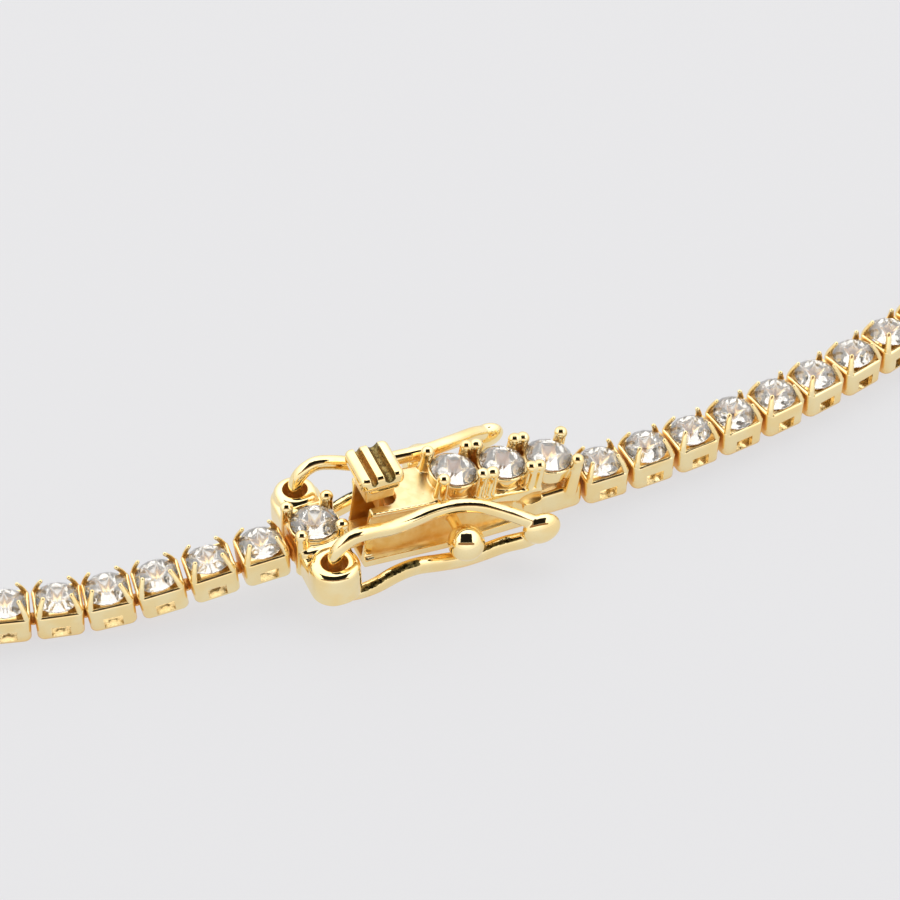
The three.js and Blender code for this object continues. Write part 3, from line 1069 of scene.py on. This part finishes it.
@dataclass
class Trigger:
    """The spring leaf folded back over the tongue, with its stem and ridged thumb piece."""

    fold_x: float = 5.95
    fold_z: float = 2.2
    fold_radius: float = 0.24
    leaf_half_width: float = 0.75
    leaf_half_thickness: float = 0.15
    leaf_slant: Pair = (0.07, 0.12)
    leaf_x: float = 3.45
    leaf_bend_z: float = 3.5
    leaf_top: float = 5.62
    stem: Block = Block(x=(2.55, 4.15), half_width=0.85, z=(4.55, 5.62), corner=0.1, rim=0.06)
    plate: Block = Block(x=(2.55, 4.35), half_width=1.2, z=(5.42, 5.95), corner=0.2, rim=0.08)
    thumb: Block = Block(x=(2.17, 4.57), half_width=1.38, z=(5.75, 6.62), corner=0.35, rim=0.3)
    groove_depth: float = 0.42
    # The upward-facing groove floors between these heights get the near-black painted shade.
    shade_top: float = 6.5
    shade_bottom: float = 5.95
    shade_facing: float = 0.1
    under_facing: float = -0.5

    # Grooves across the thumb piece, each by the x of its middle and half its width.
    grooves: tuple[Pair, ...] = ((2.87, 0.18), (3.73, 0.3))

    def build(self, bench: Bench) -> None:
        """Makes the trigger.

        Args:
            bench: Where it is set down.
        """
        fold = turned([(self.fold_radius, -self.leaf_half_width),
                       (self.fold_radius, self.leaf_half_width)], 32)
        parts = [self.thumb.form(), self.plate.form(), self.stem.form(), self._leaf(),
                 fold.moved(laid_across(self.fold_x, 0, self.fold_z, -1))]
        grooves = [self._groove(x, half_width) for x, half_width in self.grooves]
        mesh = Casting(parts, grooves, voxel=0.032, polish=6).mesh("trigger")
        # Painted shade: near-black in the groove floors, and deeper orange on the leaf, the
        # stem and under the plate.
        bench.set_down("trigger_cast", mesh, Body.TRIGGER, ["trigger"],
                       patches=(Patch(Finish.ROUGH_DARK_SHADE, self._in_groove),
                                Patch(Finish.SHADED, self._on_stem)))

    def _leaf(self) -> Form:
        """The leaf, which rises from its fold and then stands upright under the plate.

        Returns:
            The leaf.
        """
        half, (fold, bend) = self.leaf_half_thickness, self.leaf_slant
        return side_prism([
            (self.fold_x - fold, self.fold_z - half),
            (self.fold_x + fold, self.fold_z + half),
            (self.leaf_x + half, self.leaf_bend_z + bend),
            (self.leaf_x + half, self.leaf_top),
            (self.leaf_x - half, self.leaf_top),
            (self.leaf_x - half, self.leaf_bend_z - bend),
        ], self.leaf_half_width)

    def _groove(self, x: float, half_width: float) -> Form:
        """A round-bottomed groove across the thumb piece."""
        rod = turned([(1, -2), (1, 2)], 48).moved(laid_across(0, 0, 0, -1))
        return rod.stretched((half_width, 1, self.groove_depth), (x, 0, self.thumb.z[1]))

    def _in_groove(self, centre: Vector, normal: Vector) -> bool:
        """Whether a face lies in the bottom of a groove."""
        return (self.shade_bottom <= centre.z <= self.shade_top and normal.z > self.shade_facing
                and any(abs(centre.x - x) < half_width for x, half_width in self.grooves))

    def _on_stem(self, centre: Vector, normal: Vector) -> bool:
        """Whether a face lies on the leaf, the stem or the underside of the plate."""
        return centre.z < self.plate.z[0] or (centre.z < self.thumb.z[0]
                                              and normal.z < self.under_facing)


@dataclass
class ClaspBox:
    """The box: a roofed mouth with a slot, then three stone heads on a low deck."""

    start_x: float = 2.65
    lip_x: float = 2.1
    end_x: float = 14.75
    half_width: float = 1.5
    wall: float = 0.42
    edge: float = 0.12
    start_bottom: float = 0.5
    low_x: float = 7.0
    low_z: float = 0.08
    roof_start_z: float = 4.33
    roof_end_x: float = 7.05
    roof_end_z: float = 3.71
    roof_end_slant: float = 0.1
    deck_start_z: float = 3.42
    deck_end_z: float = 2.6
    nose_x: float = 12.25
    nose: Block = Block(x=(11.25, 14.75), half_width=1.22, z=(0, 1.6), corner=0.5, rim=0.3)
    notch: Block = Block(x=(0.65, 4.35), half_width=0.98, z=(3.13, 5.33), corner=0.7, rim=0.02)
    cavity_end_x: float = 6.55
    cavity_half_width: float = 0.97
    cavity_rise: float = 0.15
    cut_beyond: float = 1.0
    chain_y: float = -0.23
    head_x: tuple[float, ...] = (7.8, 10.55, 13.2)
    first_head_z: float = 4.28
    head_slope: float = 0.19
    post_depth: float = 1.85
    well_bottom: Pair = (0.35, -1.6)
    stud_x: float = 7.17
    stud_start_y: float = 1.01
    stud_z: float = 2.1
    stud_radius: float = 0.3
    ball_y: float = 3.2
    ball_radius: float = 0.98
    dent_centre: Point = (11.65, 1.62, 2.0)
    dent_radii: Point = (0.8, 0.5, 0.42)
    dent_least_y: float = 1.0
    channel_y: float = 1.65
    channel_depth: float = 0.4
    channel_squareness: float = 0.75
    satin_facing: float = 0.9
    hollow_facing: float = 0.85
    hollow_skin: float = 0.04
    hollow_reach: float = 0.03

    # The cove as [x, the height of its middle, half its height].
    channel: tuple[Point, ...] = (
        (1.2, 2.6, 1.5), (2.8, 2.5, 1.55), (5.0, 2.25, 1.5), (7.0, 2.0, 1.4),
        (9.2, 1.62, 1.0), (10.7, 1.4, 0.75))

    def build(self, bench: Bench) -> None:
        """Makes the box and its three stones.

        Args:
            bench: Where it is set down.
        """
        head, places = ProngHead(), self._head_places()
        parts = [self._roofed(), self.nose.form()]
        for place in places:
            parts += head.parts(place, self.post_depth)
        cuts = [self._mouth(), self._underside(), self.notch.form()]
        for side in Side:
            cuts += [self._dent(side), self._channel(side)]
        cuts += [head.well(place, self.well_bottom) for place in places]
        studs = [*self._stud(Side.FRONT), *self._stud(Side.BACK)]
        mesh = Casting(parts, cuts, studs).mesh("clasp_box")
        # The roof and deck are satin; the mouth, slot, coves and dents get the deeper orange
        # painted shade.
        bench.set_down("clasp_box_cast", mesh, Body.NECKLACE, ["clasp_box"],
                       patches=(Patch(Finish.SATIN, self._on_roof_or_deck),
                                Patch(Finish.SHADED, self._in_hollow)))
        for number, place in enumerate(places, start=1):
            name = f"box_stone_{number}"
            stone = Brilliant().form().moved(place).mesh(name)
            bench.set_down(f"box_brilliant_{number}", stone, Body.NECKLACE, [name],
                           Finish.CRYSTAL)

    def _head_places(self) -> list[Matrix]:
        """The girdle centres of the three stones, which lean with the deck.

        Returns:
            A place for each, with Z along the stone's axis.
        """
        lean = Matrix.Rotation(math.atan(self.head_slope), 4, "Y")
        return [Matrix.Translation(
            (x, 0, self.first_head_z - self.head_slope * (x - self.head_x[0]))) @ lean
            for x in self.head_x]

    def _roofed(self) -> Form:
        """The box from its mouth to its nose.

        Returns:
            The box, with its edges rounded.
        """
        fallen = (self.nose_x - self.low_x) / (self.end_x - self.low_x)
        return eased(side_prism([
            (self.lip_x, self.start_bottom),
            (self.low_x, self.low_z),
            (self.nose_x, self.low_z * (1 - fallen)),
            (self.nose_x, self.deck_end_z),
            (self.roof_end_x, self.deck_start_z),
            (self.roof_end_x - self.roof_end_slant, self.roof_end_z),
            (self.start_x, self.roof_start_z),
        ], self.half_width), self.edge)

    def _channel(self, side: Side) -> Form:
        """The cove along one side wall, between the roof's edge and the bottom lip.

        Args:
            side: The side.

        Returns:
            The cove as a bar that is cut away.
        """
        path = smooth_line([(x, side.value * self.channel_y, z) for x, z, _ in self.channel], 8)
        tall = smooth_line([(half, 0, 0) for _, _, half in self.channel], 8)[:, 0]
        deep = np.full(len(path), self.channel_y - self.half_width + self.channel_depth)
        return swept(path, tall, deep, (0, 1, 0), 32, self.channel_squareness)

    def _dent(self, side: Side) -> Form:
        """The shallow pit in one side wall under the last head but one."""
        x, y, z = self.dent_centre
        return ball((x, side.value * y, z), self.dent_radii, 40)

    def _mouth(self) -> Form:
        """Room for the tongue and the leaf.

        Returns:
            The room, which is cut away.
        """
        before = self.start_x - self.cut_beyond
        return side_prism([
            (before, self.start_bottom + self.wall),
            (self.cavity_end_x, self.start_bottom + self.wall),
            (self.cavity_end_x, self.roof_end_z - self.wall),
            (before, self.roof_start_z - self.wall + self.cavity_rise),
        ], self.cavity_half_width)

    def _underside(self) -> Form:
        """The hollow under the heads.

        Returns:
            The hollow, which is cut away.
        """
        start, end, top = self.cavity_end_x + self.wall, self.end_x - self.wall, self.nose.z[1]
        return side_prism([
            (start, -self.cut_beyond), (end, -self.cut_beyond), (end, top - self.wall),
            (self.nose_x, top - self.wall), (start, self.deck_start_z - 2 * self.wall),
        ], self.nose.half_width - self.wall)

    def _stud(self, side: Side) -> list[Form]:
        """The ball stud on one side of the box.

        Args:
            side: The side.

        Returns:
            Its stem and its ball.
        """
        y = side.value
        stem = turned([(self.stud_radius, 0),
                       (self.stud_radius, self.ball_y - self.stud_start_y)], 32)
        return [stem.moved(laid_across(self.stud_x, y * self.stud_start_y, self.stud_z, y)),
                ball((self.stud_x, y * self.ball_y, self.stud_z), (self.ball_radius,) * 3, 64)]

    def _on_roof_or_deck(self, centre: Vector, normal: Vector) -> bool:
        """Whether a face lies on the roof or the deck."""
        return (abs(centre.y) < self.half_width - self.edge and normal.z > self.satin_facing
                and self.nose.z[1] < centre.z < self.roof_start_z + 0.1)

    def _in_hollow(self, centre: Vector, normal: Vector) -> bool:
        """Whether a face lies in the mouth, the slot, a cove or a dent.

        Args:
            centre: The face's centre.
            normal: Its normal.

        Returns:
            Whether it does.
        """
        x, y, z = centre.x, abs(centre.y), centre.z
        in_mouth = (x < self.cavity_end_x - self.wall
                    and y < self.cavity_half_width + self.hollow_reach
                    and (normal.z < self.hollow_facing or z < self.roof_end_z - self.wall))
        cove_x, cove_z, cove_half = np.array(self.channel).T
        in_cove = (self.start_x < x < cove_x[-1] and y > self.cavity_half_width
                   and abs(z - np.interp(x, cove_x, cove_z)) < np.interp(x, cove_x, cove_half))
        in_dent = (abs(x - self.dent_centre[0]) < self.dent_radii[0] and y > self.dent_least_y
                   and abs(z - self.dent_centre[2]) < self.dent_radii[2])
        within_wall = y < self.half_width - self.hollow_skin
        return in_mouth or (within_wall and (in_cove or in_dent))


@dataclass
class SafetyCatch:
    """A bent wire that turns in an ear of the end bar and closes round a ball stud."""

    side: Side
    body: Body
    node: str
    wire: float = 0.375
    squareness: float = 0.85
    nub_centre: Point = (11.2, 3.72, 2.05)
    nub_half_size: Point = (1.05, 0.62, 0.92)
    leg_top: float = 1.75
    leg_start_x: float = 1.2
    leg_full_x: float = 3.0
    leg_extra: float = 0.12
    leg_lift: float = 0.06
    # Where the lower leg's outer face gets the near-black painted shade.
    shade_reaches: tuple[Pair, ...] = ((1.3, 4.6), (7.9, 10.1))
    shade_top: float = 1.6
    shade_facing: float = 0.86
    shade_way: Pair = (0.5, 0.87)

    # The wire's line as [x, outward y, z], from the nub along the top and back below.
    route: tuple[Point, ...] = (
        (11.15, 3.7, 2.35), (10.3, 3.36, 2.82), (9.35, 2.9, 3.25), (8.3, 2.46, 3.65),
        (7.1, 2.18, 3.88), (5.7, 2.18, 3.98), (4.4, 2.34, 3.96), (3.2, 2.54, 4.1),
        (2.2, 2.7, 4.42), (1.2, 2.82, 4.6), (0.4, 2.84, 4.2), (0.04, 2.84, 3.5),
        (0, 2.84, 2.6), (0, 2.84, 1.7), (0.08, 2.84, 1.05), (0.55, 2.86, 0.58),
        (1.4, 2.92, 0.5), (2.3, 2.94, 0.62), (3.4, 2.92, 0.95), (4.5, 2.86, 1.0),
        (5.8, 2.78, 0.66), (7.1, 2.8, 0.46), (8.3, 2.92, 0.62), (9.35, 3.16, 0.98),
        (10.4, 3.48, 1.26), (11.15, 3.7, 1.72),
    )

    def build(self, bench: Bench) -> None:
        """Makes the catch.

        Args:
            bench: Where it is set down.
        """
        sign = self.side.value
        line = smooth_line([(x, sign * y, z) for x, y, z in self.route], 6)
        along_leg = (line[:, 0] - self.leg_start_x) / (self.leg_full_x - self.leg_start_x)
        share = (line[:, 2] < self.leg_top) * np.clip(along_leg, 0, 1)
        tall = self.wire + self.leg_extra * share
        line[:, 2] += self.leg_lift * share
        wire = swept(line, tall, np.full(len(line), self.wire), (0, 1, 0), 24, self.squareness)
        x, y, z = self.nub_centre
        nub = ball((x, sign * y, z), self.nub_half_size, 48)
        mesh = Casting([wire, nub], [], voxel=0.05, polish=6, kept_share=0.5).mesh(self.node)
        # Painted shade: near-black on the lower leg's outer face.
        bench.set_down(self.node + "_cast", mesh, self.body, [self.node],
                       patches=(Patch(Finish.ROUGH_DARK_SHADE, self._on_lower_leg),))

    def _on_lower_leg(self, centre: Vector, normal: Vector) -> bool:
        """Whether a face lies on the outer face of the lower leg.

        Args:
            centre: The face's centre.
            normal: Its normal.

        Returns:
            Whether it does.
        """
        outward, upward = self.shade_way
        facing = normal.dot(Vector((0, self.side.value * outward, upward)))
        return (centre.z < self.shade_top and facing > self.shade_facing
                and any(low < centre.x < high for low, high in self.shade_reaches))


# ---- chain --------------------------------------------------------------


@dataclass
class LoopRoute:
    """The closed line that the chain lies in, from the box round to the end bar."""

    start: Pair
    end: Pair
    link_pitch: float = 2.72
    link_count: int = 152
    skew: float = 0.0788
    bar_lift: float = 1.2
    bar_ramp: float = 12.0
    samples: int = 2400

    def __post_init__(self) -> None:
        """Works out the line, with the points of the plane as complex numbers."""
        self.length = self.link_count * self.link_pitch
        turn = 2 * math.pi * (np.arange(self.samples) + 0.5) / self.samples
        steps = np.exp(1j * (turn + self.skew * np.sin(turn)))
        line = np.concatenate([[0], np.cumsum(steps)])
        start, end = complex(*self.start), complex(*self.end)
        self.line = start + line * (end - start) / line[-1]

    def link_place(self, number: int) -> Matrix:
        """The place of a link's base, counted from the box round to the end bar.

        Args:
            number: The link, from 0.

        Returns:
            A matrix in clasp millimetres with X along the chain.
        """
        distance = (number + 0.5) * self.link_pitch
        back, ahead = (self._point(distance + shift) for shift in
                       (-self.link_pitch / 2, self.link_pitch / 2))
        along = (ahead - back).normalized()
        side = Vector((0, 0, 1)).cross(along).normalized()
        turn = Matrix((along, side, along.cross(side))).transposed().to_4x4()
        return Matrix.Translation((back + ahead) / 2) @ turn

    def _point(self, distance: float) -> Vector:
        """The point on the ground line of the chain.

        Args:
            distance: How far it is from the box.

        Returns:
            The point, which rises towards the end bar.
        """
        at = distance / self.length * self.samples
        numbers = np.arange(self.samples + 1)
        x, y = (np.interp(at, numbers, part) for part in (self.line.real, self.line.imag))
        share = min((self.length - distance) / self.bar_ramp, 1)
        return Vector((x, y, self.bar_lift * (1 - share * share * (3 - 2 * share))))


@dataclass
class Chain:
    """All links and their stones, joined into a few pieces."""

    route: LoopRoute
    links_a_piece: int = 30
    crease_deg: float = 50
    seed: int = 7
    tilt: float = 0.1

    def build(self, bench: Bench) -> None:
        """Makes the links and the stones.

        Args:
            bench: Where it is set down.
        """
        link = BasketLink()
        metal = link.form(self.route.link_pitch)
        stone = Brilliant().form().moved(Matrix.Scale(link.stone_scale, 4))
        places = [self.route.link_place(i) for i in range(self.route.link_count)]
        for start in range(0, len(places), self.links_a_piece):
            group = places[start:start + self.links_a_piece]
            number = start // self.links_a_piece + 1
            nodes = ["chain"] if number == 1 else []
            mesh = self._repeated(metal, group).mesh(f"links_{number}")
            bench.set_down(f"chain_links_{number}", mesh, Body.NECKLACE, nodes,
                           crease_deg=self.crease_deg)
        rng = np.random.default_rng(self.seed)
        raised = Matrix.Translation((0, 0, link.girdle_height))
        seats = [place @ raised @ Matrix.Rotation(rng.uniform(0, math.pi), 4, "Z")
                 @ Matrix.Rotation(rng.normal(0, self.tilt), 4, "X") for place in places]
        mesh = self._repeated(stone, seats).mesh("chain_stones")
        bench.set_down("chain_brilliants", mesh, Body.NECKLACE, [],
                       Finish.CRYSTAL)

    @staticmethod
    def _repeated(form: Form, places: list[Matrix]) -> Form:
        """The same form at each place, joined."""
        copies = [form.moved(place) for place in places]
        return copies[0].joined(*copies[1:])


# ---- studio -------------------------------------------------------------


@dataclass(frozen=True)
class TentPatch:
    """A soft-edged rectangle of other light in the tent, laid out flat."""

    half_width: float
    low: float
    high: float
    light: Colour
    softness: float = 0.04

    def cover(self, sheet: NodeSheet, across: Socket, height: Socket) -> Socket:
        """How far the patch covers the tent.

        Args:
            sheet: The tent's nodes.
            across: The distance to either side of the middle.
            height: The distance up.

        Returns:
            1 inside it and 0 outside.
        """
        soft = self.softness
        sides = sheet.step(across, self.half_width, self.half_width - soft)
        ends = sheet.math("MULTIPLY",
                          sheet.step(height, self.low - soft / 2, self.low + soft / 2),
                          sheet.step(height, self.high, self.high - soft))
        return sheet.math("MULTIPLY", sides, ends)


@dataclass
class Studio:
    """The pale floor, a white tent with a dark opening in front, and the camera."""

    target: Point = (9.79, 5.33, 0.0)
    azimuth_deg: float = 22.5
    elevation_deg: float = 45.0
    distance_mm: float = 220.0
    focal_mm: float = 163.7
    clip: Pair = (0.01, 20)
    floor_size_m: float = 6.0
    floor_drop_m: float = 0.00003
    floor: GlowingSheet = GlowingSheet("floor")
    side_light: Colour = (1.0, 1.0, 1.0)
    top_light: Colour = (1.9, 1.9, 1.9)
    overhead_step: Pair = (0.1, 0.8)
    sill: TentPatch = TentPatch(half_width=0.5, low=-0.14, high=0.015,
                                light=(0.32, 0.17, 0.08))
    opening: TentPatch = TentPatch(half_width=0.36, low=-0.005, high=0.58,
                                   light=(0.015, 0.014, 0.012))

    def build(self, bench: Bench) -> None:
        """Makes the floor, the light and the camera.

        Args:
            bench: Where the clasp lies.
        """
        self._floor()
        self._tent()
        self._camera(bench)

    def _axes(self) -> tuple[Vector, Vector, Vector]:
        """The directions right, up and back of the view.

        Returns:
            Three unit vectors.
        """
        azimuth, elevation = map(math.radians, (self.azimuth_deg, self.elevation_deg))
        back = Vector((-math.sin(azimuth) * math.cos(elevation),
                       -math.cos(azimuth) * math.cos(elevation), math.sin(elevation)))
        right = Vector((0, 0, 1)).cross(back).normalized()
        return right, back.cross(right), back

    def _floor(self) -> None:
        """A plain sheet under the necklace."""
        half = self.floor_size_m / 2
        mesh = bpy.data.meshes.new("floor")
        mesh.from_pydata([(-half, -half, 0), (half, -half, 0), (half, half, 0),
                          (-half, half, 0)], [], [(0, 1, 2, 3)])
        floor = bpy.data.objects.new("floor", mesh)
        floor.location.z = -self.floor_drop_m
        bpy.context.scene.collection.objects.link(floor)
        mesh.materials.append(self.floor.material())

    def _tent(self) -> None:
        """White surroundings, brighter overhead, with an opening and its sill in front.

        Directions are laid out flat by stereographic projection about the way back to the
        viewer, so that the opening is a rectangle there.
        """
        world = bpy.data.worlds.new("tent")
        bpy.context.scene.world = world
        world.use_nodes = True
        sheet = NodeSheet(world.node_tree)
        place = sheet.add("TexCoord", {}, "Generated")
        right, up, back = self._axes()
        just_over_one = 1.001
        spread = sheet.math("ADD", sheet.dot(place, back), just_over_one)
        across = sheet.math("ABSOLUTE", sheet.math("DIVIDE", sheet.dot(place, right), spread))
        height = sheet.math("DIVIDE", sheet.dot(place, up), spread)
        overhead = sheet.step(sheet.dot(place, Vector((0, 0, 1))), *self.overhead_step)
        light = sheet.blend(overhead, self.side_light, self.top_light)
        for patch in (self.sill, self.opening):
            light = sheet.blend(patch.cover(sheet, across, height), light, patch.light)
        sheet.feed(world.node_tree.nodes["Background"], {"Color": light})

    def _camera(self, bench: Bench) -> None:
        """The camera, looking down at the clasp.

        Args:
            bench: Where the clasp lies.
        """
        data = bpy.data.cameras.new("camera")
        data.lens = self.focal_mm
        data.clip_start, data.clip_end = self.clip
        camera = bpy.data.objects.new("camera", data)
        bpy.context.scene.collection.objects.link(camera)
        back = self._axes()[2]
        target = (bench.origin + Vector(self.target)) * MM
        camera.location = target + back * self.distance_mm * MM
        camera.rotation_mode = "QUATERNION"
        camera.rotation_quaternion = (-back).to_track_quat("-Z", "Y")
        bpy.context.scene.camera = camera


def main() -> None:
    """Builds the necklace piece by piece, then its studio."""
    logging.basicConfig(level=logging.INFO, format="%(message)s")
    bpy.context.scene.view_settings.view_transform = "Standard"
    bench = Bench.from_frame()
    bar, box = EndBar(), ClaspBox()
    bar.build(bench)
    Trigger().build(bench)
    box.build(bench)
    SafetyCatch(Side.FRONT, Body.FRONT_CATCH, "safety_catch_front").build(bench)
    SafetyCatch(Side.BACK, Body.BACK_CATCH, "safety_catch_back",
                nub_half_size=(0.98, 0.5, 0.75)).build(bench)
    route = LoopRoute(start=(box.end_x, box.chain_y), end=(bar.neck.x[0], 0.0))
    Chain(route).build(bench)
    Studio().build(bench)


if __name__ == "__main__":
    main()
